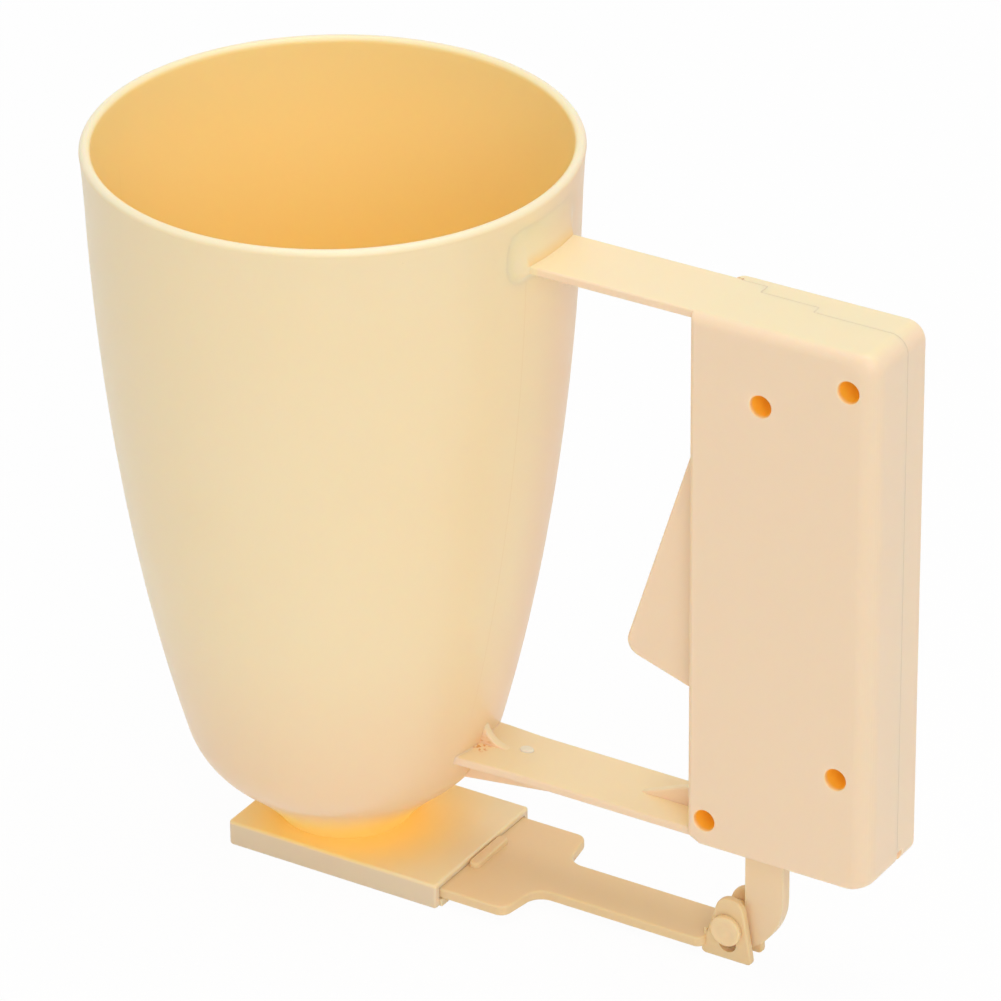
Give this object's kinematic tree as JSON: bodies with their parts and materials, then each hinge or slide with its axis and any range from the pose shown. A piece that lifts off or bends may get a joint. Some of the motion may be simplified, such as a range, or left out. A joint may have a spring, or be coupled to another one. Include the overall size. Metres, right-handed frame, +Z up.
{
  "type": "batter dispenser",
  "caption": "Hand-held batter dispenser: open cup over a sliding outlet gate, boxed grip on two straps, and a sprung trigger that pulls the gate open.",
  "frame": {"origin": "centre of the outlet hole, in the flat underside that the dispenser stands on", "axes": "+X from the cup's axis to the grip and along the gate's opening travel, +Y to the far side of the grip, away from the face with the screw wells, +Z up along the cup's axis"},
  "size_m": [0.1886, 0.1062, 0.1678],
  "materials": {
    "cup_moulding": "satin-gloss moulded plastic",
    "cover_moulding": "satin-gloss moulded plastic",
    "trigger_moulding": "satin moulded plastic",
    "pin_moulding": "satin moulded plastic",
    "gate_moulding": "satin moulded plastic",
    "plate_moulding": "satin moulded plastic",
    "spring_steel": "drawn wire",
    "screw_steel": "zinc plated"
  },
  "bodies": {
    "frame": {"cup_frame": "cup_moulding", "grip_cover": "cover_moulding", "outlet_plate": "plate_moulding", "return_spring": "spring_steel", "grip_screws": "screw_steel"},
    "trigger": {"trigger_lever": "trigger_moulding", "link_pin": "pin_moulding"},
    "gate": {"gate_slide": "gate_moulding"}
  },
  "joints": [
    {"name": "trigger_swing", "type": "hinge", "parent": "frame", "child": "trigger", "pos_m": [0.1089, 0, 0.1385], "axis": [0, -1, 0], "range_deg": [0, 10.5], "stiffness_Nm_per_rad": 2, "springref_deg": -5.73, "deforming": ["return_spring"]},
    {"name": "gate_travel", "type": "slide", "parent": "frame", "child": "gate", "axis": [1, 0, 0], "range_m": [0, 0.0241]}
  ],
  "couplings": [
    {"joint": "gate_travel", "follows": "trigger_swing", "m_per_rad": 0.13097}
  ]
}
